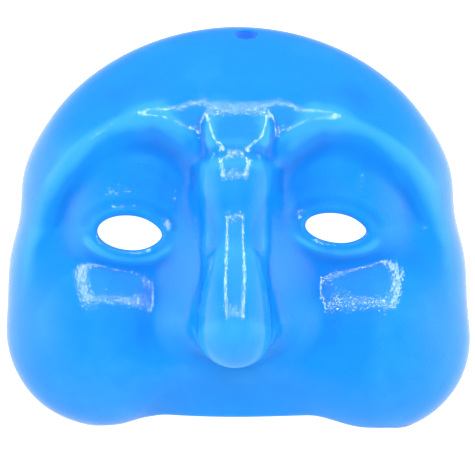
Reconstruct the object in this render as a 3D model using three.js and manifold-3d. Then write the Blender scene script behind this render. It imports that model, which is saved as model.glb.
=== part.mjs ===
// Glazed ceramic half mask, cast in one piece: millimetres, +Z up out of the face, +Y to the forehead.
// The mask lies on its flat back rim. Its hollow side faces down and is open under the upper lip.
import * as THREE from "three";
import { mergeVertices } from "three/addons/utils/BufferGeometryUtils.js";
import Module from "manifold-3d";

const wall = 4;

// Blank: a round dome with a sloping forehead and a flatter cap that carries the face.
const dome = { y: -8, z: 4, radius: 75.1, height: 50, narrowing: 0.31 };
const temple = { y: 4, width: 12, inset: 0.045 };
const forehead = { y: 37, z: 42.5, slope: 1.22, bend: 190, soften: 9 };
const cap = { radius: 96, height: 47, soften: 3 };

// Brow crests: the middle, height and curve of each arch, inside and outside the middle.
const browLeft = { x: 27, y: 34.2, inner: 0.034, outer: 0.0185 };
const browRight = { x: 27.5, y: 33.2, inner: 0.031, outer: 0.0165 };
const brow = { rise: 0.8, peak: 2.4, peakWidth: 9.5, width: 8, upper: 7 };
const socket = { depth: 6, innerDepth: 2.2, step: 12, underEye: 5 };
const lump = { y: 26, rise: 3, halfWidth: 11.2, halfHeight: 11, taper: 0.16, wall: 4, soften: 1 };
const rootCrease = { y: 21.8, depth: 3, width: 2.6 };

// Cheeks form the lower corners, and lean in towards the nose as they rise.
const cheekRight = { x: 45.2, y: -35.8, radius: 30, inner: 42, upper: 36 };
const cheekLeft = { x: -43.3, y: -32.7, radius: 31.4, inner: 30, upper: 32.5 };
const cheek = { z: 11, height: 32, lean: 4, soften: 7 };
const muzzle = { y: -44, z: 3, x: 33, depth: 34, height: 32, soften: 7 };

// Lids and the openings in them.
const lidRight = { x: 32.6, y: -2.6 };
const lidLeft = { x: -34.2, y: -3.6 };
const lid = { z: 23.5, rx: 17.5, ry: 10.5, rz: 15.2, soften: 4 };
const eyeRight = { x: 30.5, y: -0.3, halfWidth: 9.4, halfHeight: 4.5, droop: 0.1 };
const eyeLeft = { x: -33.5, y: -1.8, halfWidth: 10, halfHeight: 5.3, droop: 0.06 };

// Nose: a body with two wings, under a narrow hooked ridge with a full tip.
const noseBody = { from: [4, 33], to: [-21, 20], rFrom: 12, rTo: 28.5, soften: 8 };
const wing = { x: 13.5, y: -29, z: 33, rx: 11.8, ry: 12.4, rz: 14.5, soften: 8 };
const noseRoot = { x: -0.8, y: 12.4, z: 45.8, rx: 9, ry: 8.5, lower: 8, rz: 6, soften: 7.5 };
const noseRidge = {
  x: -0.8, from: [14.5, 45.1], to: [-31.5, 59.4], rFrom: 6.1, rTo: 11, soften: 6, upperSoften: 6,
};
const noseCrest = { from: 1.05, to: 1.36, hook: 1.1, draft: 0.45, upperDraft: 0.2, flank: 4.5 };

// Lower edge, cut over the lip between the cheeks, and the hanging hole.
const lipEdge = { y: -59.4, drop: 4.6, from: 22, to: 42 };
const hole = { x: 2.8, y: 62.9, radius: 3.45, flare: 6.4, flareDepth: 8, tilt: 29 };

function smoothStep(a, b, v) {
  const t = THREE.MathUtils.clamp((v - a) / (b - a), 0, 1);
  return t * t * (3 - 2 * t);
}

function bell(v, width) {
  return Math.exp(-((v / width) ** 2));
}

// Two fields joined, or one kept inside the other, with a soft corner.
function join(a, b, soften) {
  const t = THREE.MathUtils.clamp(0.5 + (0.5 * (b - a)) / soften, 0, 1);
  return b * (1 - t) + a * t - soften * t * (1 - t);
}

function within(a, b, soften) {
  return -join(-a, -b, soften);
}

// Distance to an ellipsoid, near enough close to its surface.
function ellipsoid(x, y, z, rx, ry, rz) {
  const k0 = Math.hypot(x / rx, y / ry, z / rz);
  const k1 = Math.hypot(x / rx ** 2, y / ry ** 2, z / rz ** 2);
  return (k0 * (k0 - 1)) / Math.max(k1, 1e-9);
}

// Place along a nose bar that runs from one end to the other in the middle plane.
function along(bar, y, z) {
  const dy = bar.to[0] - bar.from[0];
  const dz = bar.to[1] - bar.from[1];
  const length = Math.hypot(dy, dz);
  const u = ((y - bar.from[0]) * dy + (z - bar.from[1]) * dz) / length;
  const w = ((y - bar.from[0]) * dz - (z - bar.from[1]) * dy) / length;
  return { u, w, length };
}

function noseBodyField(x, y, z) {
  const { u, w, length } = along(noseBody, y, z);
  const s = THREE.MathUtils.clamp(u / length, 0, 1);
  const r = noseBody.rFrom + (noseBody.rTo - noseBody.rFrom) * smoothStep(0, 1, s);
  return Math.hypot(x, w, u - length * s) - r;
}

// The ridge is round on top, its sides spread on the way down, and the tip hooks over.
function noseRidgeField(x, y, z, detail) {
  const place = along(noseRidge, y, z);
  const length = place.length;
  const first = THREE.MathUtils.clamp(place.u / length, 0, 1);
  const w = place.w - 1.3 * bell(first - 0.06, 0.13) - 0.6 * bell(first - 0.42, 0.25);
  const deep = Math.hypot(Math.max(-w, 0), 2) - 2;
  const u = place.u + noseCrest.hook * deep;
  const s = THREE.MathUtils.clamp(u / length, 0, 1);
  const grown = (noseRidge.rTo - noseRidge.rFrom) * smoothStep(0, 1, s);
  const filled = (1 - detail) * (0.8 + 2.4 * (1 - smoothStep(0, 0.6, s)));
  const flank = bell(first - 0.42, 0.28);
  const spread = Math.hypot(Math.max(6 * flank - w, 0), 2) - 2;
  const wider = flank * (noseCrest.flank * (1 - Math.exp(-spread / 6)) - 0.9);
  const draft = noseCrest.draft + noseCrest.upperDraft * (1 - smoothStep(0.1, 0.85, s));
  const r = noseRidge.rFrom + grown - filled + draft * deep + wider;
  const crest = noseCrest.from + (noseCrest.to - noseCrest.from) * smoothStep(0, 1, s);
  return Math.hypot(x - noseRidge.x, Math.max(w, 0) / crest, u - length * s) - r;
}

// The brow arches, the sockets under them and the lump between them, all sunk into or raised from the cap.
function browAndSockets(f, x, y, z, detail) {
  const ax = Math.abs(x);
  const calm = 1 - detail;
  const arch = x < 0 ? browLeft : browRight;
  const off = ax - arch.x;
  const curve = off < 0 ? arch.inner : arch.outer;
  const below = (arch.y - curve * off * off - y) / Math.hypot(1, 2 * curve * off);
  const side = 1 - smoothStep(52, 68, ax);
  const middle = smoothStep(5, 15, ax);
  const corner = bell(Math.hypot((ax - 17) / 9, (y - 8) / 18), 1);
  const inner = socket.innerDepth * corner * smoothStep(3, 12, below);
  const sunk = socket.depth * smoothStep(-1 - 6 * calm, socket.step + 4 * calm, below) + inner;
  const underEye = socket.underEye * smoothStep(0, 16, -y) * (1 - smoothStep(26, 44, -y));
  f += middle * (sunk * side * (1 - smoothStep(24, 48, -y)) + underEye * (1 - smoothStep(50, 72, ax)));

  const rise = brow.rise + brow.peak * bell(Math.max(off, 0), brow.peakWidth);
  const end = within(join((ax - 14.5) / 9, 1, 0.25), 0, 0.25);
  f -= detail * rise * bell(below + 1, below < -1 ? brow.upper : brow.width) * end * side;

  const lumpTall = bell(y - lump.y, lump.halfHeight);
  const lumpWide = lump.halfWidth * (1 + (lump.taper * (y - lump.y)) / lump.halfHeight);
  const lumpTop = f + lump.soften - (lump.rise + lump.soften) * lumpTall + lump.wall * (ax / lumpWide) ** 6;
  f = join(f, lumpTop + 20 * calm, lump.soften);
  const creaseWide = Math.exp(-((ax / 11) ** 4));
  return f + detail * rootCrease.depth * creaseWide * bell(y - rootCrease.y, rootCrease.width);
}

// How far a point is outside the face: below zero inside. Detail 1 is the front, 0 the calmer hollow side.
function face(x, y, z, detail) {
  const ax = Math.abs(x);
  const calm = 1 - detail;
  const xb = x * (1 + temple.inset * bell(y - temple.y, temple.width));
  let yb = y - dome.y;
  yb *= 1 + dome.narrowing * (1 - smoothStep(-22, 8, yb));
  let f = ellipsoid(xb, yb, z - dome.z, dome.radius, dome.radius, dome.height);
  const slopeTop = forehead.z - forehead.slope * (y - forehead.y) - (x * x) / forehead.bend;
  f = within(f, (z - slopeTop) * 0.67, forehead.soften);
  f = within(f, ellipsoid(x, y - dome.y, z, cap.radius, cap.radius, cap.height), cap.soften + 5 * calm);
  f = browAndSockets(f, x, y, z, detail);

  for (const c of [cheekRight, cheekLeft]) {
    const xc = x - c.x + cheek.lean * smoothStep(8, 44, z) * Math.sign(c.x);
    const yc = y - c.y;
    const wide = xc * c.x < 0 ? c.inner : c.radius;
    const tall = yc > 0 ? c.upper : c.radius;
    f = join(f, ellipsoid(xc, yc, z - cheek.z, wide, tall, cheek.height), cheek.soften + 3 * calm);
  }
  f = join(f, ellipsoid(x, y - muzzle.y, z - muzzle.z, muzzle.x, muzzle.depth, muzzle.height), muzzle.soften);
  for (const e of [lidRight, lidLeft]) {
    let ye = y - e.y;
    ye *= 1 - 0.7 * smoothStep(-4, 10, ye);
    f = join(f, ellipsoid(x - e.x, ye, z - lid.z, lid.rx, lid.ry, lid.rz), lid.soften + 3 * calm);
  }

  f = join(f, noseBodyField(x, y, z), noseBody.soften);
  const wingField = ellipsoid(ax - wing.x, y - wing.y, z - wing.z, wing.rx, wing.ry, wing.rz);
  f = join(f, wingField, wing.soften + calm);
  const tall = y > noseRoot.y ? noseRoot.ry : noseRoot.lower;
  const root = ellipsoid(x - noseRoot.x, y - noseRoot.y, z - noseRoot.z, noseRoot.rx, tall, noseRoot.rz);
  f = join(f, root + 2 * calm, noseRoot.soften);
  const soften = noseRidge.soften + noseRidge.upperSoften * smoothStep(-28, -4, y);
  return join(f, noseRidgeField(x, y, z, detail), soften - calm);
}

// Distance from the middle of the back opening, in one direction, to where the field has the given value.
function reach(dx, dy, dz, value, detail) {
  let near = 8;
  let far = 130;
  for (let i = 0; i < 26; i++) {
    const mid = (near + far) / 2;
    const inside = face(dx * mid, dome.y + dy * mid, dz * mid, detail) < value;
    if (inside) near = mid;
    else far = mid;
  }
  return (near + far) / 2;
}

// A sphere whose upper part is moved to the face and whose last rows close it with a flat bottom.
function shell(segments, rows, bottomRows, value, detail, bottom) {
  const geometry = new THREE.SphereGeometry(1, segments, rows);
  geometry.rotateX(Math.PI / 2);
  const position = geometry.attributes.position;
  const upper = (rows - bottomRows) / rows;
  for (let i = 0; i < position.count; i++) {
    const turn = Math.atan2(position.getY(i), position.getX(i));
    const row = Math.acos(THREE.MathUtils.clamp(position.getZ(i), -1, 1)) / Math.PI;
    const fall = Math.min(row / upper, 1) * (Math.PI / 2);
    const sin = row >= upper - 1e-6 ? 1 : Math.sin(fall);
    const cos = row >= upper - 1e-6 ? 0 : Math.cos(fall);
    let r = reach(sin * Math.cos(turn), sin * Math.sin(turn), cos, value, detail);
    let z = cos * r;
    if (row > upper + 1e-6) {
      const step = (row - upper) / (1 - upper);
      const straight = bottom < 0 ? 1 / bottomRows : 0;
      r *= 1 - Math.max(0, (step - straight) / (1 - straight));
      z = bottom;
    }
    position.setXYZ(i, sin * r * Math.cos(turn), dome.y + sin * r * Math.sin(turn), z);
  }
  return geometry;
}

const wasm = await Module();
wasm.setup();

function solid(geometry) {
  const bare = geometry.clone();
  bare.deleteAttribute("normal");
  bare.deleteAttribute("uv");
  const merged = mergeVertices(bare, 1e-4);
  const mesh = { numProp: 3, vertProperties: merged.attributes.position.array, triVerts: merged.index.array };
  return new wasm.Manifold(new wasm.Mesh(mesh));
}

// An upright prism with the given outline.
function prism(outline, from, to) {
  const shape = new THREE.Shape(outline);
  const geometry = new THREE.ExtrudeGeometry(shape, { depth: to - from, bevelEnabled: false });
  geometry.translate(0, 0, from);
  return solid(geometry);
}

// An eye opening: an oval that droops towards its right-hand corner, where it comes to a soft point.
function almond(eye) {
  const points = [];
  const steps = 28;
  for (let i = 0; i < steps; i++) {
    const a = (i / steps) * 2 * Math.PI;
    const across = eye.halfWidth * Math.cos(a);
    const point = 1 - 0.22 * Math.max(Math.cos(a), 0) ** 3;
    const up = eye.halfHeight * Math.sin(a) * point - eye.droop * across;
    points.push(new THREE.Vector2(eye.x + across, eye.y + up));
  }
  return points;
}

function lipLine(x) {
  return lipEdge.y - lipEdge.drop * smoothStep(lipEdge.from, lipEdge.to, Math.abs(x));
}

function lipOutline() {
  const points = [];
  const half = 42;
  for (let x = -half; x <= half; x += 3) {
    points.push(new THREE.Vector2(x, lipLine(x)));
  }
  points.push(new THREE.Vector2(half, -110), new THREE.Vector2(-half, -110));
  return points.reverse();
}

// Height of the front above one point of the plan.
function heightAt(x, y) {
  let low = 0;
  let high = 90;
  for (let i = 0; i < 26; i++) {
    const mid = (low + high) / 2;
    if (face(x, y, mid, 1) < 0) low = mid;
    else high = mid;
  }
  return (low + high) / 2;
}

// The hanging hole is square to the surface, straight at the front and flared towards the hollow.
function holeCut() {
  const profile = [
    new THREE.Vector2(0, -hole.flareDepth),
    new THREE.Vector2(hole.flare, -hole.flareDepth),
    new THREE.Vector2(hole.radius, 0),
    new THREE.Vector2(hole.radius, 8),
    new THREE.Vector2(0, 8),
  ];
  const geometry = new THREE.LatheGeometry(profile, 24);
  geometry.rotateX(THREE.MathUtils.degToRad(hole.tilt));
  geometry.translate(hole.x, hole.y, heightAt(hole.x, hole.y));
  return solid(geometry);
}

const outside = solid(shell(72, 40, 3, 0, 1, 0));
const inside = solid(shell(50, 28, 3, -wall, 0, -12));
const cast = outside
  .subtract(inside)
  .subtract(prism(almond(eyeRight), 20, 60))
  .subtract(prism(almond(eyeLeft), 20, 60))
  .subtract(prism(lipOutline(), -5, 60))
  .subtract(holeCut());

function toGeometry(body) {
  const mesh = body.getMesh();
  const geometry = new THREE.BufferGeometry();
  geometry.setAttribute("position", new THREE.BufferAttribute(mesh.vertProperties, 3));
  geometry.setIndex(new THREE.BufferAttribute(mesh.triVerts, 1));
  geometry.computeVertexNormals();
  return geometry;
}

const blueGlaze = new THREE.MeshStandardMaterial({ color: 0x2a93f5, roughness: 0.12, metalness: 0 });
const mask = new THREE.Mesh(toGeometry(cast), blueGlaze);
mask.name = "half_mask";

const group = new THREE.Group();
group.add(mask);

export default group;
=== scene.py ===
import math
import time

import bmesh
import bpy
import numpy as np
from mathutils import Matrix, Vector


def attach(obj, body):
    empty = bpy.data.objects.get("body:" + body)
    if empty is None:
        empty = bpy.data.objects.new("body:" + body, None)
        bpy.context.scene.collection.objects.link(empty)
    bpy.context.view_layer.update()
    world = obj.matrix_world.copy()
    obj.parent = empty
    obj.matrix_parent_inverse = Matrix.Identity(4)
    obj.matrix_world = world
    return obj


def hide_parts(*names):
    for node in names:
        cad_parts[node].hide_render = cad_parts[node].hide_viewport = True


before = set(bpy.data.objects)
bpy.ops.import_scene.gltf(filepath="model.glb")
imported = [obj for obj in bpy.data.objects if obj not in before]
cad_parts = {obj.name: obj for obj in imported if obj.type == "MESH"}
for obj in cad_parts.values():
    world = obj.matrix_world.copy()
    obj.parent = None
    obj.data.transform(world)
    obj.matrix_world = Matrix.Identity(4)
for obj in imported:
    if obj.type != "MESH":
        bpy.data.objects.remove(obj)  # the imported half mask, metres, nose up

started = time.time()
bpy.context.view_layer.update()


def report(text):
    print(f"[mask] {text} ({time.time() - started:.1f} s)")


# Form: the same volumes as the solid, in millimetres, with the finer relief of the front added

mask = {
    "wall": 4.0,
    "dome": {"y": -8.0, "z": 4.0, "radius": 75.1, "height": 50.0, "narrowing": 0.31},
    "temple": {"y": 4.0, "width": 12.0, "inset": 0.045},
    "forehead": {"y": 37.0, "z": 42.5, "slope": 1.22, "bend": 190.0, "scale": 0.67, "soften": 9.0},
    "cap": {"radius": 96.0, "height": 47.0, "soften": 3.0},
    "browLeft": {"x": 27.0, "y": 34.2, "inner": 0.034, "outer": 0.0185},
    "browRight": {"x": 27.5, "y": 33.2, "inner": 0.031, "outer": 0.0165},
    "brow": {"rise": 0.8, "peak": 2.4, "peakWidth": 9.5, "width": 8.0, "upper": 7.0},
    "socket": {"depth": 6.0, "innerDepth": 2.2, "step": 12.0, "underEye": 5.0},
    "lump": {"y": 26.0, "rise": 3.0, "halfWidth": 11.2, "halfHeight": 11.0, "taper": 0.16,
             "wall": 4.0, "soften": 1.0},
    "rootCrease": {"y": 21.8, "depth": 3.0, "width": 2.6, "reach": 11},
    "cheekRight": {"x": 45.2, "y": -35.8, "radius": 30.0, "inner": 42.0, "upper": 36.0},
    "cheekLeft": {"x": -43.3, "y": -32.7, "radius": 31.4, "inner": 30.0, "upper": 32.5},
    "cheek": {"z": 11.0, "height": 32.0, "lean": 4.0, "soften": 7.0},
    "muzzle": {"y": -44.0, "z": 3.0, "x": 33.0, "depth": 34.0, "height": 32.0, "soften": 7.0},
    "lidRight": {"x": 32.6, "y": -2.6},
    "lidLeft": {"x": -34.2, "y": -3.6},
    "lid": {"z": 23.5, "rx": 17.5, "ry": 10.5, "rz": 15.2, "upperStretch": 0.70, "soften": 4.0},
    "noseBody": {"from": (4.0, 33.0), "to": (-21.0, 20.0), "rFrom": 12.0, "rTo": 28.5, "soften": 8.0},
    "wing": {"x": 13.5, "y": -29.0, "z": 33.0, "rx": 11.8, "ry": 12.4, "rz": 14.5, "soften": 8.0},
    "noseRoot": {"x": -0.8, "y": 12.4, "z": 45.8, "rx": 9.0, "ry": 8.5, "lower": 8.0, "rz": 6.0,
                 "soften": 7.5},
    "noseRidge": {"from": (14.5, 45.1), "to": (-31.5, 59.4), "rFrom": 6.1, "rTo": 11.0, "x": -0.8,
                  "crestFrom": 1.05, "crestTo": 1.36, "soften": 6.0, "upperSoften": 6.0, "hook": 1.1,
                  "rootRise": 1.3, "middleRise": 0.6, "draft": 0.45, "upperDraft": 0.2,
                  "flank": 4.5, "flankSlim": 0.9},
    "eyeRight": {"x": 30.5, "y": -0.3, "halfWidth": 9.4, "halfHeight": 4.5, "droop": 0.1},
    "eyeLeft": {"x": -33.5, "y": -1.8, "halfWidth": 10.0, "halfHeight": 5.3, "droop": 0.06},
    "lipEdge": {"y": -59.4, "drop": 4.6, "from": 22.0, "to": 42.0},
    "hole": {"x": 2.8, "y": 62.9, "radius": 3.45, "flare": 6.4, "flareDepth": 8.0, "tilt": 29.0},
    "cells": 190,         # cells across the grid that the shell is pulled from
    "rimRound": 0.9,      # rounding of the back rim and the lip edge
    "eyeRoundFront": 1.9,
    "eyeRoundBack": 1.3,
    "holeRound": 0.8,
    "holeRoundBack": 0.6,
    "cornerThin": 0.22,   # how much flatter an eye opening gets towards its right corner
    "lidCrease": 0.22,
    "underRoll": 0.6,
    "foldDepth": 0.10,    # two shallow folds in the left socket
    "socketCalm": 0.14,   # slight tilt of the upper sockets, which calms their highlights
    "handWaves": 0.10,    # slow unevenness of a hand-finished casting
}


def smoothStep(a, b, v):
    t = np.clip((v - a) / (b - a), 0, 1)
    return t * t * (3 - 2 * t)


def bell(v, width):
    return np.exp(-(v / width) ** 2)


def length(*parts):
    return np.sqrt(sum(p * p for p in parts))


def join(a, b, soften):
    t = np.clip(0.5 + 0.5 * (b - a) / soften, 0, 1)
    return b * (1 - t) + a * t - soften * t * (1 - t)


def within(a, b, soften):
    return -join(-a, -b, soften)


def ellipsoid(x, y, z, rx, ry, rz):
    k0 = length(x / rx, y / ry, z / rz)
    k1 = length(x / rx ** 2, y / ry ** 2, z / rz ** 2)
    return k0 * (k0 - 1) / np.maximum(k1, 1e-9)


def along(bar, y, z):
    dy, dz = bar["to"][0] - bar["from"][0], bar["to"][1] - bar["from"][1]
    span = math.hypot(dy, dz)
    u = ((y - bar["from"][0]) * dy + (z - bar["from"][1]) * dz) / span
    w = ((y - bar["from"][0]) * dz - (z - bar["from"][1]) * dy) / span
    return u, w, span


def noseBodyField(x, y, z):
    bar = mask["noseBody"]
    u, w, span = along(bar, y, z)
    s = np.clip(u / span, 0, 1)
    r = bar["rFrom"] + (bar["rTo"] - bar["rFrom"]) * smoothStep(0, 1, s)
    return length(x, w, u - span * s) - r


def noseRidgeField(x, y, z, detail):
    bar = mask["noseRidge"]
    u, w, span = along(bar, y, z)
    first = np.clip(u / span, 0, 1)
    w = w - bar["rootRise"] * bell(first - 0.06, 0.13) - bar["middleRise"] * bell(first - 0.42, 0.25)
    deep = length(np.maximum(-w, 0), 2.0) - 2
    u = u + bar["hook"] * deep
    s = np.clip(u / span, 0, 1)
    grown = (bar["rTo"] - bar["rFrom"]) * smoothStep(0, 1, s)
    filled = (1 - detail) * (0.8 + 2.4 * (1 - smoothStep(0, 0.6, s)))
    draft = bar["draft"] + bar["upperDraft"] * (1 - smoothStep(0.1, 0.85, s))
    flank = bell(first - 0.42, 0.28)
    spread = length(np.maximum(6 * flank - w, 0), 2.0) - 2
    wider = flank * (bar["flank"] * (1 - np.exp(-spread / 6)) - bar["flankSlim"])
    r = bar["rFrom"] + grown - filled + draft * deep + wider
    crest = bar["crestFrom"] + (bar["crestTo"] - bar["crestFrom"]) * smoothStep(0, 1, s)
    return length(x - bar["x"], np.maximum(w, 0) / crest, u - span * s) - r


def relief(x, y, z):
    # a fine crease over each eye opening, a soft roll under it, two folds in the left socket,
    # calmer upper sockets and the waves of handwork
    lids = 0
    for eye in (mask["eyeRight"], mask["eyeLeft"]):
        across = x - eye["x"]
        tall = y - eye["y"] + eye["droop"] * across
        gap = ellipsoid(across, tall, 0 * x, eye["halfWidth"], eye["halfHeight"], 1.0)
        lids = lids + mask["lidCrease"] * bell(gap - 3.8, 1.5) * smoothStep(0, 3, tall)
        lids = lids - mask["underRoll"] * bell(gap - 3.2, 1.8) * smoothStep(0, 6, -tall)
    folds = 0
    for ring in (16.5, 22.0):
        folds = folds + bell(length(x + 32, y - 2) - ring, 1.5) * bell(x + 31, 11) * smoothStep(2, 8, y)
    waves = np.sin(x * 0.13 + 1.3) * np.sin(y * 0.11 + 0.4) + 0.6 * np.sin(x * 0.21 - y * 0.17 + 2.1)
    calmed = (y - 17.5) * bell(y - 17.5, 6.5) * (bell(x + 36, 9) + 0.7 * bell(x - 29, 8))
    depths = lids - mask["socketCalm"] * calmed + mask["foldDepth"] * folds
    return depths + mask["handWaves"] * waves * smoothStep(2, 14, z)


def face(points, detail):
    x, y, z = points[:, 0], points[:, 1], points[:, 2]
    ax = np.abs(x)
    calm = 1 - detail
    dome, cap, socket, lump = mask["dome"], mask["cap"], mask["socket"], mask["lump"]
    xb = x * (1 + mask["temple"]["inset"] * bell(y - mask["temple"]["y"], mask["temple"]["width"]))
    yb = y - dome["y"]
    yb = yb * (1 + dome["narrowing"] * (1 - smoothStep(-22, 8, yb)))
    f = ellipsoid(xb, yb, z - dome["z"], dome["radius"], dome["radius"], dome["height"])
    slope = mask["forehead"]
    slopeTop = slope["z"] - slope["slope"] * (y - slope["y"]) - x * x / slope["bend"]
    f = within(f, (z - slopeTop) * slope["scale"], slope["soften"])

    left = x < 0
    part = {k: np.where(left, mask["browLeft"][k], mask["browRight"][k]) for k in mask["browLeft"]}
    off = ax - part["x"]
    curve = np.where(off < 0, part["inner"], part["outer"])
    below = (part["y"] - curve * off * off - y) / length(1.0, 2 * curve * off)
    side = 1 - smoothStep(52, 68, ax)
    middle = smoothStep(5, 15, ax)
    floor = 1 - smoothStep(24, 48, -y)
    corner = bell(length((ax - 17) / 9, (y - 8) / 18), 1)
    inner = socket["innerDepth"] * corner * smoothStep(3, 12, below)
    sunk = socket["depth"] * smoothStep(-1 - 6 * calm, socket["step"] + 4 * calm, below) + inner
    top = ellipsoid(x, y - dome["y"], z, cap["radius"], cap["radius"], cap["height"])
    f = within(f, top, cap["soften"] + 5 * calm)
    under = socket["underEye"] * smoothStep(0, 16, -y) * middle
    under = under * (1 - smoothStep(50, 72, ax)) * (1 - smoothStep(26, 44, -y))
    f = f + sunk * side * middle * floor + under
    roll = mask["brow"]
    rise = roll["rise"] + roll["peak"] * bell(np.maximum(off, 0), roll["peakWidth"])
    end = within(join((ax - 14.5) / 9, 1.0, 0.25), 0.0, 0.25)
    spread = np.where(below < -1, roll["upper"], roll["width"])
    f = f - detail * rise * bell(below + 1, spread) * end * side
    lumpTall = bell(y - lump["y"], lump["halfHeight"])
    lumpWide = lump["halfWidth"] * (1 + lump["taper"] * (y - lump["y"]) / lump["halfHeight"])
    lumpTop = f + lump["soften"] - (lump["rise"] + lump["soften"]) * lumpTall
    lumpTop = lumpTop + lump["wall"] * (ax / lumpWide) ** 6
    f = join(f, lumpTop + 20 * calm, lump["soften"])
    crease = mask["rootCrease"]
    across = np.exp(-(ax / crease["reach"]) ** 4)
    f = f + detail * crease["depth"] * across * bell(y - crease["y"], crease["width"])

    puffs = mask["cheek"]
    for c in (mask["cheekRight"], mask["cheekLeft"]):
        lean = puffs["lean"] * smoothStep(8, 44, z) * np.sign(c["x"])
        xc, yc = x - c["x"] + lean, y - c["y"]
        wide = np.where(xc * c["x"] < 0, c["inner"], c["radius"])
        tall = np.where(yc > 0, c["upper"], c["radius"])
        ball = ellipsoid(xc, yc, z - puffs["z"], wide, tall, puffs["height"])
        f = join(f, ball, puffs["soften"] + 3 * calm)
    muzzle = mask["muzzle"]
    ball = ellipsoid(x, y - muzzle["y"], z - muzzle["z"], muzzle["x"], muzzle["depth"], muzzle["height"])
    f = join(f, ball, muzzle["soften"])
    lid = mask["lid"]
    for eye in (mask["lidRight"], mask["lidLeft"]):
        up = y - eye["y"]
        up = up * (1 - lid["upperStretch"] * smoothStep(-4, 10, up))
        ball = ellipsoid(x - eye["x"], up, z - lid["z"], lid["rx"], lid["ry"], lid["rz"])
        f = join(f, ball, lid["soften"] + 3 * calm)

    f = join(f, noseBodyField(x, y, z), mask["noseBody"]["soften"])
    wing = mask["wing"]
    ball = ellipsoid(ax - wing["x"], y - wing["y"], z - wing["z"], wing["rx"], wing["ry"], wing["rz"])
    f = join(f, ball, wing["soften"] + calm)
    root = mask["noseRoot"]
    tall = np.where(y > root["y"], root["ry"], root["lower"])
    ball = ellipsoid(x - root["x"], y - root["y"], z - root["z"], root["rx"], tall, root["rz"])
    f = join(f, ball + 2 * calm, root["soften"])
    ridge = mask["noseRidge"]
    soften = ridge["soften"] + ridge["upperSoften"] * smoothStep(-28, -4, y)
    f = join(f, noseRidgeField(x, y, z, detail), soften - calm)
    if detail:
        f = f + relief(x, y, z)
    return f


def front(points):
    return face(points, 1)


def hollow(points):
    return face(points, 0) + mask["wall"]


def slopes(field, points, step=0.02):
    out = np.empty_like(points)
    for i in range(3):
        shift = np.zeros(3)
        shift[i] = step
        out[:, i] = (field(points + shift) - field(points - shift)) / (2 * step)
    return out


def unit(v):
    return v / np.maximum(np.linalg.norm(v, axis=1, keepdims=True), 1e-9)


def dot(a, b):
    return (a * b).sum(1)


def ontoField(field, points, rounds=1):
    for _ in range(rounds):
        g = slopes(field, points)
        points = points - g * (field(points) / np.maximum(dot(g, g), 1e-6))[:, None]
    return points


# Openings and edges: how far a point is inside the part that is left

def lipLine(x):
    edge = mask["lipEdge"]
    return edge["y"] - edge["drop"] * smoothStep(edge["from"], edge["to"], np.abs(x))


def rimRoom(points):
    return join(points[:, 2], points[:, 1] - lipLine(points[:, 0]), 1.0)


def almond(eye, grow):
    a = np.linspace(0, 2 * math.pi, 241)[:-1]
    across = eye["halfWidth"] * np.cos(a)
    tall = eye["halfHeight"] * np.sin(a) * (1 - mask["cornerThin"] * np.maximum(np.cos(a), 0) ** 3)
    line = np.stack([eye["x"] + across, eye["y"] + tall - eye["droop"] * across], 1)
    step = np.roll(line, -1, 0) - np.roll(line, 1, 0)
    out = np.stack([step[:, 1], -step[:, 0]], 1)
    return line + grow * unit(out)


def nearOutline(line, flat):
    # nearest place on a closed outline, and the signed distance outside it
    a, b = line, np.roll(line, -1, 0)
    d = b - a
    t = ((flat[:, None, :] - a[None]) * d[None]).sum(2) / (d * d).sum(1)[None]
    near = a[None] + np.clip(t, 0, 1)[:, :, None] * d[None]
    gap = np.linalg.norm(flat[:, None, :] - near, axis=2)
    k = gap.argmin(1)
    row = np.arange(len(flat))
    cross = d[k, 0] * (flat[:, 1] - a[k, 1]) - d[k, 1] * (flat[:, 0] - a[k, 0])
    return near[row, k], np.where(cross < 0, 1, -1) * gap[row, k]


def heightAt(x, y):
    low, high = 0.0, 90.0
    for _ in range(26):
        middle = (low + high) / 2
        if front(np.array([[x, y, middle]]))[0] < 0:
            low = middle
        else:
            high = middle
    return (low + high) / 2


tilt = math.radians(mask["hole"]["tilt"])
holeAxis = np.array([0, math.cos(tilt), math.sin(tilt)])
holeAt = np.array([mask["hole"]["x"], mask["hole"]["y"], heightAt(mask["hole"]["x"], mask["hole"]["y"])])


def holeParts(points):
    depth = (points - holeAt) @ holeAxis
    aside = points - holeAt - depth[:, None] * holeAxis
    hole = mask["hole"]
    radius = hole["radius"] + np.maximum(-depth, 0) * (hole["flare"] - hole["radius"]) / hole["flareDepth"]
    return depth, aside, radius


# Glaze: its values, some of which the shell carries

glaze = {
    "deep": (0.004, 0.225, 0.84, 1),     # pooled glaze in hollows, also painted shade in hollows
    "colour": (0.007, 0.295, 0.94, 1),
    "pale": (0.045, 0.43, 1.0, 1),       # thinned glaze over crests and edges, also painted light on crests
    "clay": (0.56, 0.40, 0.27, 1),       # bare foot of the flat back rim
    "clayRough": 0.85,
    "tonesAt": (0.05, 0.46, 0.95),       # tone values at which deep, colour and pale are reached, from pooled glaze with painted shade to thin glaze with painted light
    "cloudSize": 0.028,                  # slow clouds in the glaze
    "cloudDepth": 0.10,
    "brushSize": 0.009,                  # smaller unevenness from the brush
    "brushDepth": 0.05,
    "footHeight": 0.0002,
    "footBlend": 0.0001,
    "footUneven": 0.0003,
    "footNoise": 0.004,
    "insideRough": 0.26,                 # thinner, duller glaze in the hollow
    "flatThin": 0.42,                    # glaze thinness from 0 to 1 on a flat surface
    # crests are made paler and hollows deeper: thinned and pooled glaze, and also painted light on crests
    # and painted shade in hollows
    "thinAndLightPerCrest": 2.2,
    "poolAndShadePerHollow": 1.7,
    "edgeThin": 0.55,
    "roughness": 0.07,
    "glossSize": 0.012,                  # patches of slightly different gloss
    "glossRange": (0.8, 1.3),
    "ior": 1.47,
    "grainSize": 0.0009,                 # fine grain of the fired surface
    "grainDepth": 0.00009,
    "rippleSize": 0.006,                 # slow orange peel
    "rippleDepth": 0.00004,
}


# Making the shell

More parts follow.
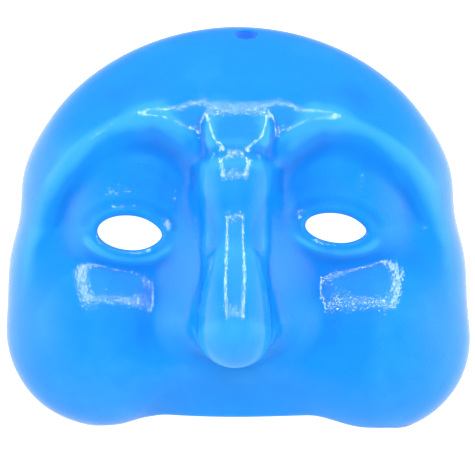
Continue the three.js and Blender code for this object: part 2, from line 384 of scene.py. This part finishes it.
def findEdge(bearing):
    # how far from upright a ray in each direction meets the lower edge of the front
    low = np.full(bearing.shape, math.radians(40))
    high = np.full(bearing.shape, math.radians(90))
    for _ in range(18):
        middle = (low + high) / 2
        inside = rimRoom(castOnto(middle, bearing)) > mask["rimRound"]
        low, high = np.where(inside, middle, low), np.where(inside, high, middle)
    return (low + high) / 2


def castOnto(lean, bearing):
    ray = np.stack([np.sin(lean) * np.cos(bearing), np.sin(lean) * np.sin(bearing), np.cos(lean)], 1)
    centre = np.array([0, mask["dome"]["y"], 0])
    near, far = np.full(len(ray), 8.0), np.full(len(ray), 130.0)
    for _ in range(22):
        middle = (near + far) / 2
        inside = front(centre + ray * middle[:, None]) < 0
        near, far = np.where(inside, middle, near), np.where(inside, far, middle)
    return centre + ray * ((near + far) / 2)[:, None]


def places(verts):
    return np.array([v.co[:] for v in verts])


def putBack(verts, points):
    for v, p in zip(verts, points.tolist()):
        v.co = p


def neighbours(bm):
    # each point is drawn to its neighbours, an edge point only along its own edge
    to, source = [], []
    for e in bm.edges:
        a, b = e.verts
        if e.is_boundary or not a.is_boundary:
            to.append(a.index)
            source.append(b.index)
        if e.is_boundary or not b.is_boundary:
            to.append(b.index)
            source.append(a.index)
    return np.array(to), np.array(source)


def relax(points, links, settle, rounds, pull=0.7, held=None):
    to, source = links
    count = np.maximum(np.bincount(to, minlength=len(points)), 1)
    for i in range(rounds):
        mean = np.stack([np.bincount(to, points[source, k], len(points)) / count for k in range(3)], 1)
        moved = points + pull * (mean - points)
        if held is not None:
            moved[held] = points[held]
        points = moved
        if i % 2 or i == rounds - 1:
            points = settle(points)
    return points


def sortEdges(bm, points):
    # which boundary each edge point belongs to
    kinds = {"rim": [], "eyeLeft": [], "eyeRight": [], "hole": []}
    for v in bm.verts:
        if not v.is_boundary:
            continue
        p = points[v.index]
        if abs(p[1] + 1) < 12 and abs(abs(p[0]) - 32) < 18 and p[2] > 15:
            kinds["eyeLeft" if p[0] < 0 else "eyeRight"].append(v.index)
        elif np.linalg.norm(p - holeAt) < 8:
            kinds["hole"].append(v.index)
        else:
            kinds["rim"].append(v.index)
    return {k: np.array(v, int) for k, v in kinds.items()}


def settler(field, kinds, rimRound, eyeRound, holeRound):
    outlines = {k: almond(mask[k], eyeRound) for k in ("eyeLeft", "eyeRight")}

    def settle(points):
        points = ontoField(field, points)
        rim = kinds["rim"]
        if len(rim):
            for _ in range(2):
                p = points[rim]
                n = unit(slopes(field, p))
                m = slopes(rimRoom, p)
                m = m - dot(m, n)[:, None] * n
                p = p - m * ((rimRoom(p) - rimRound) / np.maximum(dot(m, m), 0.05))[:, None]
                points[rim] = ontoField(field, p)
        for name, line in outlines.items():
            k = kinds[name]
            if len(k):
                for _ in range(2):
                    p = points[k]
                    p[:, :2] = nearOutline(line, p[:, :2])[0]
                    g = slopes(field, p)[:, 2]
                    p[:, 2] -= field(p) / np.where(np.abs(g) < 0.2, 0.2, g)
                    points[k] = p
        k = kinds["hole"]
        if len(k):
            for _ in range(2):
                p = points[k]
                depth, aside, radius = holeParts(p)
                p = holeAt + depth[:, None] * holeAxis + unit(aside) * (radius + holeRound)[:, None]
                p = p - holeAxis * (field(p) / (slopes(field, p) @ holeAxis))[:, None]
                points[k] = p
        return points

    return settle


def trimSlope(points, kinds):
    # unit direction away from each opening or edge, at its edge points
    m = np.zeros_like(points)
    if len(kinds["rim"]):
        m[kinds["rim"]] = unit(slopes(rimRoom, points[kinds["rim"]]))
    for name in ("eyeLeft", "eyeRight"):
        k = kinds[name]
        near = nearOutline(almond(mask[name], 0.0), points[k][:, :2])[0]
        m[k, :2] = unit(points[k][:, :2] - near)
    m[kinds["hole"]] = unit(holeParts(points[kinds["hole"]])[1])
    return m


def bareFront():
    bm = bmesh.new()
    bmesh.ops.create_grid(bm, x_segments=mask["cells"], y_segments=mask["cells"], size=1)
    bm.verts.ensure_lookup_table()
    flat = places(bm.verts)
    u = flat[:, 0] * np.sqrt(1 - flat[:, 1] ** 2 / 2)   # the square grid made round
    v = flat[:, 1] * np.sqrt(1 - flat[:, 0] ** 2 / 2)
    turns = np.linspace(-math.pi, math.pi, 1441)
    lean = length(u, v) * np.interp(np.arctan2(v, u), turns, findEdge(turns))
    points = castOnto(lean, np.arctan2(v, u))
    report("grid pulled onto the front")

    kinds = sortEdges(bm, points)
    settle = settler(front, kinds, mask["rimRound"], mask["eyeRoundFront"], mask["holeRound"])
    points = relax(points, neighbours(bm), settle, 40)
    putBack(bm.verts, points)
    report("front relaxed")

    drop = []
    for name in ("eyeLeft", "eyeRight"):
        outline = almond(mask[name], mask["eyeRoundFront"])
        centre = np.array([f.calc_center_median()[:] for f in bm.faces])
        gone = np.nonzero((centre[:, 2] > 15) & (np.abs(centre[:, 0] - mask[name]["x"]) < 16)
                          & (np.abs(centre[:, 1] - mask[name]["y"]) < 12))[0]
        gap = nearOutline(outline, centre[gone][:, :2])[1]
        drop += gone[gap < 0].tolist()
    depth, aside = holeParts(centre)[:2]
    reach = mask["hole"]["radius"] + mask["holeRound"]
    inHole = (np.abs(depth) < 6) & (np.linalg.norm(aside, axis=1) < reach)
    drop += np.nonzero(inHole)[0].tolist()
    bm.faces.ensure_lookup_table()
    bmesh.ops.delete(bm, geom=[bm.faces[i] for i in drop], context="FACES")
    bm.verts.index_update()
    points = places(bm.verts)
    kinds = sortEdges(bm, points)
    settle = settler(front, kinds, mask["rimRound"], mask["eyeRoundFront"], mask["holeRound"])
    links = neighbours(bm)
    points = relax(settle(points), links, settle, 30)
    putBack(bm.verts, points)
    report("eye openings and hanging hole cut")
    return bm, points, kinds, links


def hollowSide(points, kinds, links):
    # the front moved in by the wall thickness onto the calmer hollow side
    n = unit(slopes(front, points))
    m = trimSlope(points, kinds)
    way = -unit(n - dot(n, m)[:, None] * m)
    near, far = np.zeros(len(points)), np.full(len(points), 16.0)
    for _ in range(16):
        middle = (near + far) / 2
        outside = hollow(points + way * middle[:, None]) > 0
        near, far = np.where(outside, middle, near), np.where(outside, far, middle)
    inner = points + way * ((near + far) / 2)[:, None]
    settle = settler(hollow, kinds, mask["rimRound"], mask["eyeRoundBack"], mask["holeRoundBack"])
    inner = settle(settle(inner))
    held = np.concatenate(list(kinds.values()))
    inner = relax(inner, links, settle, 24, held=held)
    report("hollow side made")
    return inner, m


def rimRings(points, inner, m, kinds, name, frontRound, backRound):
    # rounded edge from the front round to the hollow side: rows of places for one boundary
    k = kinds[name]
    o, i, m = points[k], inner[k], m[k]
    nFront, nBack = unit(slopes(front, o)), unit(slopes(hollow, i))

    def cornerOf(p, n, r):
        t = -unit(m - dot(m, n)[:, None] * n)
        return p + t * np.minimum(r / np.maximum(-dot(t, m), 0.3), 2.2 * r)[:, None]

    a, b = cornerOf(o, nFront, frontRound), cornerOf(i, nBack, backRound)
    across = b - a
    span = np.linalg.norm(across, axis=1)[:, None]
    a2 = a + across * np.minimum(frontRound / span, 0.5)
    b2 = b - across * np.minimum(backRound / span, 0.45)
    rows = []
    for t in np.linspace(0, 1, 7)[1:]:
        rows.append(o * (1 - t) ** 2 + 2 * a * t * (1 - t) + a2 * t * t)
    for t in np.linspace(0, 1, 6)[:-1]:
        rows.append(b2 * (1 - t) ** 2 + 2 * b * t * (1 - t) + i * t * t)
    for row in rows:
        row[:, 2] = np.maximum(row[:, 2], 0)   # nothing reaches below the wall or table it lies on
    return rows


def addRim(bm, fronts, backs, boundary, rows, thinAndShadingLayer):
    # extrude the boundary row by row, then weld the last row onto the hollow side
    held = {fronts[i]: j for j, i in enumerate(boundary)}
    edges = [e for e in bm.edges if e.is_boundary and all(v in held for v in e.verts)]
    for row in rows + [None]:
        grown = bmesh.ops.extrude_edge_only(bm, edges=edges)["geom"]
        following = {}
        for v in (g for g in grown if isinstance(g, bmesh.types.BMVert)):
            back = next(e.other_vert(v) for e in v.link_edges if e.other_vert(v) in held)
            following[v] = held[back]
        edges = [g for g in grown if isinstance(g, bmesh.types.BMEdge)]
        edges = [g for g in edges if all(v in following for v in g.verts)]
        if row is not None:
            for v, j in following.items():
                v.co = row[j]
                v[thinAndShadingLayer] = glaze["edgeThin"]
        held = following
    bmesh.ops.weld_verts(bm, targetmap={v: backs[boundary[j]] for v, j in held.items()})


def roundness(field, points, reach=2.0):
    # how strongly the surface curves outwards: above 0 on crests, below 0 in hollows, per millimetre
    total = -6 * field(points)
    for i in range(3):
        shift = np.zeros(3)
        shift[i] = reach
        total = total + field(points + shift) + field(points - shift)
    return total / reach ** 2


bm, points, kinds, links = bareFront()
inner, trim = hollowSide(points, kinds, links)
thinAndShadingLayer = bm.verts.layers.float.new("glazeThinAndShading")
inward = bm.verts.layers.float.new("hollowSide")
fronts = list(bm.verts)
copy = bmesh.ops.duplicate(bm, geom=fronts + list(bm.edges) + list(bm.faces))
backs = [copy["vert_map"][v] for v in fronts]
bmesh.ops.reverse_faces(bm, faces=[f for f in copy["geom"] if isinstance(f, bmesh.types.BMFace)])
putBack(backs, inner)
# glaze tone from how each side curves: thinned glaze on crests and pooled glaze in hollows, also painted
# light on crests and painted shade in hollows
for v, bend in zip(fronts, roundness(front, points).tolist()):
    v[thinAndShadingLayer] = glaze["flatThin"] + bend * glaze["thinAndLightPerCrest" if bend > 0 else "poolAndShadePerHollow"]
for v, bend in zip(backs, roundness(hollow, inner).tolist()):
    v[thinAndShadingLayer] = glaze["flatThin"] - bend * glaze["poolAndShadePerHollow" if bend > 0 else "thinAndLightPerCrest"]
    v[inward] = 1
eyeRounds = (mask["eyeRoundFront"], mask["eyeRoundBack"])
rims = {
    "rim": (mask["rimRound"], mask["rimRound"]),
    "eyeLeft": eyeRounds,
    "eyeRight": eyeRounds,
    "hole": (mask["holeRound"], mask["holeRoundBack"]),
}
for name, rounds in rims.items():
    rows = rimRings(points, inner, trim, kinds, name, *rounds)
    addRim(bm, fronts, backs, kinds[name].tolist(), rows, thinAndShadingLayer)
bmesh.ops.scale(bm, vec=(0.001, 0.001, 0.001), verts=bm.verts)
report(f"rims closed: {len(bm.faces)} faces, open edges {sum(e.is_boundary for e in bm.edges)}")

shellMesh = bpy.data.meshes.new("mask_shell")
for f in bm.faces:
    f.smooth = True
bm.to_mesh(shellMesh)
bm.free()
shell = bpy.data.objects.new("mask_shell", shellMesh)
bpy.context.scene.collection.objects.link(shell)
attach(shell, "root")
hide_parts("half_mask")


# Glaze material

def mapRange(tree, value, fromMin, fromMax, toMin, toMax, how="LINEAR"):
    node = tree.nodes.new("ShaderNodeMapRange")
    node.interpolation_type = how
    numbers = {"From Min": fromMin, "From Max": fromMax, "To Min": toMin, "To Max": toMax}
    for name, number in numbers.items():
        node.inputs[name].default_value = number
    tree.links.new(value, node.inputs["Value"])
    return node.outputs["Result"]


def mathNode(tree, how, a, b):
    node = tree.nodes.new("ShaderNodeMath")
    node.operation = how
    for socket, value in zip(node.inputs, (a, b)):
        if isinstance(value, (int, float)):
            socket.default_value = value
        else:
            tree.links.new(value, socket)
    return node.outputs[0]


def glazeMaterial():
    material = bpy.data.materials.new("blue_glaze")
    material.use_nodes = True
    nodes, links = material.node_tree.nodes, material.node_tree.links
    shader = nodes["Principled BSDF"]
    shader.inputs["IOR"].default_value = glaze["ior"]
    place = nodes.new("ShaderNodeTexCoord")

    def noise(size, detail):
        texture = nodes.new("ShaderNodeTexNoise")
        texture.inputs["Scale"].default_value = 1 / size
        texture.inputs["Detail"].default_value = detail
        links.new(place.outputs["Object"], texture.inputs["Vector"])
        return texture.outputs["Fac"]

    def mottle(size, detail, low, high):
        return mapRange(material.node_tree, noise(size, detail), 0.3, 0.7, low, high)

    def calc(how, a, b):
        return mathNode(material.node_tree, how, a, b)

    def bump(size, depth, under=None):
        node = nodes.new("ShaderNodeBump")
        node.inputs["Distance"].default_value = depth
        links.new(noise(size, 1.0), node.inputs["Height"])
        if under is not None:
            links.new(under, node.inputs["Normal"])
        return node.outputs["Normal"]

    # the tone read from the shell holds thinned and pooled glaze, and also painted light on crests and
    # painted shade in hollows
    thinnessAndShading = nodes.new("ShaderNodeAttribute")
    thinnessAndShading.attribute_name = "glazeThinAndShading"
    clouds = mottle(glaze["cloudSize"], 3.0, -glaze["cloudDepth"], glaze["cloudDepth"])
    brushed = mottle(glaze["brushSize"], 2.0, -glaze["brushDepth"], glaze["brushDepth"])
    level = calc("ADD", thinnessAndShading.outputs["Fac"], calc("ADD", clouds, brushed))
    tones = nodes.new("ShaderNodeValToRGB")
    tones.color_ramp.interpolation = "EASE"
    deepAt, colourAt, paleAt = glaze["tonesAt"]
    first, last = tones.color_ramp.elements
    first.position = deepAt
    first.color = glaze["deep"]
    last.position = paleAt
    last.color = glaze["pale"]
    tones.color_ramp.elements.new(colourAt).color = glaze["colour"]
    links.new(level, tones.inputs["Fac"])

    # bare clay where the flat rim stood in the kiln
    axes = nodes.new("ShaderNodeSeparateXYZ")
    links.new(place.outputs["Object"], axes.inputs[0])
    uneven = mottle(glaze["footNoise"], 2.0, 0.0, glaze["footUneven"])
    raised = calc("SUBTRACT", axes.outputs["Z"], uneven)
    bottom, top = glaze["footHeight"] - glaze["footBlend"], glaze["footHeight"]
    foot = mapRange(material.node_tree, raised, bottom, top, 1.0, 0.0)
    bare = nodes.new("ShaderNodeMix")
    bare.data_type = "RGBA"
    links.new(foot, bare.inputs["Factor"])
    links.new(tones.outputs["Color"], bare.inputs["A"])
    bare.inputs["B"].default_value = glaze["clay"]
    links.new(bare.outputs["Result"], shader.inputs["Base Color"])

    inside = nodes.new("ShaderNodeAttribute")
    inside.attribute_name = "hollowSide"
    least, most = glaze["glossRange"]
    gloss = mottle(glaze["glossSize"], 2.0, glaze["roughness"] * least, glaze["roughness"] * most)
    dull = calc("MULTIPLY", inside.outputs["Fac"], glaze["insideRough"])
    rough = calc("MAXIMUM", calc("ADD", gloss, dull), calc("MULTIPLY", foot, glaze["clayRough"]))
    links.new(rough, shader.inputs["Roughness"])
    ripple = bump(glaze["rippleSize"], glaze["rippleDepth"])
    links.new(bump(glaze["grainSize"], glaze["grainDepth"], ripple), shader.inputs["Normal"])
    return material


shell.data.materials.append(glazeMaterial())

# Studio: pale floor, soft light, camera

studio = {
    "floor": (0.8, 0.8, 0.8, 1),
    "floorGlow": 0.8,        # the floor is a softly lit table, as in a cut-out photograph
    "floorRough": 0.6,
    "floorHalf": 2,
    "floorAt": (0, 0, -0.0002),
    "padGlow": 1.0,          # a lit pad under the hollow, so that the eye openings read white
    "padRough": 0.5,
    "padRadius": 0.05,
    "padAt": (0, -0.005, -0.0001),
    "ringElevation": 32.0,   # a frame of lit strips beyond the top, seen only in reflections
    "ringDistance": 0.7,
    "ringHalfWidth": 0.52,
    "ringHalfHeight": 0.34,
    "ringStrip": 0.014,
    "ringSide": 0.08,
    "ringGlow": 42.0,        # brightness of the top and bottom strips
    "sideGlow": 15.0,
    "fillGlow": 0.45,        # brightness of the screen inside the ring
    "screenBehind": 0.02,
    "aimHeight": 0.03,       # height over the floor at which all lights point
    "zenith": 0.15,          # brightness of the room overhead
    "chinSide": 0.45,        # what the horizon adds beyond the chin
    "sides": 1.0,            # what it adds to the left and right
    "topSide": 0.05,         # share of that which is left beyond the top
}

scene = bpy.context.scene
scene.view_settings.view_transform = "Standard"


def roomLight():
    # soft room: brightest at the sides, dimmer beyond the chin, darkest overhead and beyond the top
    world = bpy.data.worlds.new("studio")
    scene.world = world
    world.use_nodes = True
    tree = world.node_tree
    place = tree.nodes.new("ShaderNodeTexCoord")
    split = tree.nodes.new("ShaderNodeSeparateXYZ")
    tree.links.new(place.outputs["Generated"], split.inputs[0])
    across, up = split.outputs["Y"], split.outputs["Z"]
    low = mapRange(tree, up, 0.05, 0.85, 1.0, 0.0, "SMOOTHSTEP")       # 1 at the horizon, 0 overhead
    chin = mapRange(tree, across, -0.7, 0.1, studio["chinSide"], studio["sides"], "SMOOTHSTEP")
    top = mapRange(tree, across, 0.1, 0.75, 1.0, studio["topSide"], "SMOOTHSTEP")
    horizon = mathNode(tree, "MULTIPLY", low, mathNode(tree, "MULTIPLY", chin, top))
    glow = mathNode(tree, "ADD", horizon, studio["zenith"])
    tree.nodes["Background"].inputs["Color"].default_value = (1, 1, 1, 1)
    tree.links.new(glow, tree.nodes["Background"].inputs["Strength"])


roomLight()


def litSheet(name, materialName, sheetMesh, at, rough, glow):
    # a flat glowing piece of the studio that never shows in reflections
    bmesh.ops.translate(sheetMesh, vec=at, verts=sheetMesh.verts)
    mesh = bpy.data.meshes.new(name)
    sheetMesh.to_mesh(mesh)
    sheetMesh.free()
    sheet = bpy.data.objects.new(name, mesh)
    scene.collection.objects.link(sheet)
    sheet.visible_glossy = False
    material = bpy.data.materials.new(materialName)
    material.use_nodes = True
    shader = material.node_tree.nodes["Principled BSDF"]
    shader.inputs["Base Color"].default_value = studio["floor"]
    shader.inputs["Roughness"].default_value = rough
    shader.inputs["Emission Color"].default_value = (1, 1, 1, 1)
    shader.inputs["Emission Strength"].default_value = glow
    mesh.materials.append(material)
    return sheet


def makeFloor():
    square = bmesh.new()
    bmesh.ops.create_grid(square, x_segments=1, y_segments=1, size=studio["floorHalf"])
    place, rough, glow = studio["floorAt"], studio["floorRough"], studio["floorGlow"]
    floor = litSheet("floor", "pale_floor", square, place, rough, glow)
    disc = bmesh.new()
    bmesh.ops.create_circle(disc, cap_ends=True, segments=48, radius=studio["padRadius"])
    place, rough, glow = studio["padAt"], studio["padRough"], studio["padGlow"]
    pad = litSheet("light_pad", "lit_pad", disc, place, rough, glow)


def areaLight(name, at, sideways, wide, tall, glow, shows=True):
    light = bpy.data.lights.new(name, "AREA")
    light.shape = "RECTANGLE"
    light.size = wide
    light.size_y = tall
    light.energy = glow * math.pi * wide * tall
    lamp = bpy.data.objects.new(name, light)
    lamp.visible_glossy = shows        # a light either shows in reflections or lights the surface
    lamp.visible_diffuse = not shows
    back = (Vector(at) - Vector((0, 0, studio["aimHeight"]))).normalized()
    up = back.cross(Vector(sideways)).normalized()
    right = up.cross(back)
    lamp.matrix_world = Matrix.Translation(at) @ Matrix((right, up, back)).transposed().to_4x4()
    scene.collection.objects.link(lamp)


makeFloor()
rise = math.radians(studio["ringElevation"])
ringAt = Vector((0, math.cos(rise), math.sin(rise))) * studio["ringDistance"]
right = Vector((1, 0, 0))
up = ringAt.normalized().cross(right)
halfWidth, halfHeight = studio["ringHalfWidth"], studio["ringHalfHeight"]
strip, side = studio["ringStrip"], studio["ringSide"]
wide, tall = 2 * halfWidth, 2 * halfHeight
sideAt = right * (halfWidth - side / 2)
screenAt = ringAt + ringAt.normalized() * studio["screenBehind"]
areaLight("ring_top", ringAt + up * halfHeight, right, wide, strip, studio["ringGlow"])
areaLight("ring_bottom", ringAt - up * halfHeight, right, wide, strip, studio["ringGlow"])
areaLight("ring_right", ringAt + sideAt, up, tall, side, studio["sideGlow"])
areaLight("ring_left", ringAt - sideAt, up, tall, side, studio["sideGlow"])
areaLight("screen", screenAt, right, wide, tall, studio["fillGlow"])

# soft boxes that light the glaze without showing in it
softBoxes = {
    "soft_top": {"at": (0, 0, 1.5), "sideways": (1, 0, 0), "wide": 1.6, "tall": 1.6, "glow": 1.0},
    "soft_brow": {"at": (0, 0.65, 1.05), "sideways": (1, 0, 0), "wide": 1.2, "tall": 0.9, "glow": 3.2},
    "soft_chin": {"at": (0, -1.4, 0.6), "sideways": (1, 0, 0), "wide": 1.6, "tall": 0.9, "glow": 1.4},
    "soft_right": {"at": (1.4, 0, 0.5), "sideways": (0, 1, 0), "wide": 1.2, "tall": 0.8, "glow": 1.3},
    "soft_left": {"at": (-1.4, 0, 0.5), "sideways": (0, 1, 0), "wide": 1.2, "tall": 0.8, "glow": 1.3},
}
for name, box in softBoxes.items():
    areaLight(name, Vector(box["at"]), Vector(box["sideways"]), box["wide"], box["tall"], box["glow"], False)

# pixelsPerMm is the picture's scale at scaleAt metres from the camera, in a picture of frame pixels
view = {"x": 0.0, "y": -0.00324, "height": 0.627, "pixelsPerMm": 3.087, "scaleAt": 0.617,
        "frame": 475, "sensor": 36}
camera = bpy.data.cameras.new("camera")
camera.sensor_width = view["sensor"]
camera.lens = view["sensor"] * view["scaleAt"] * 1000 * view["pixelsPerMm"] / view["frame"]
cameraObject = bpy.data.objects.new("camera", camera)
cameraObject.location = (view["x"], view["y"], view["height"])
scene.collection.objects.link(cameraObject)
scene.camera = cameraObject
report("studio set")


bpy.context.view_layer.update()
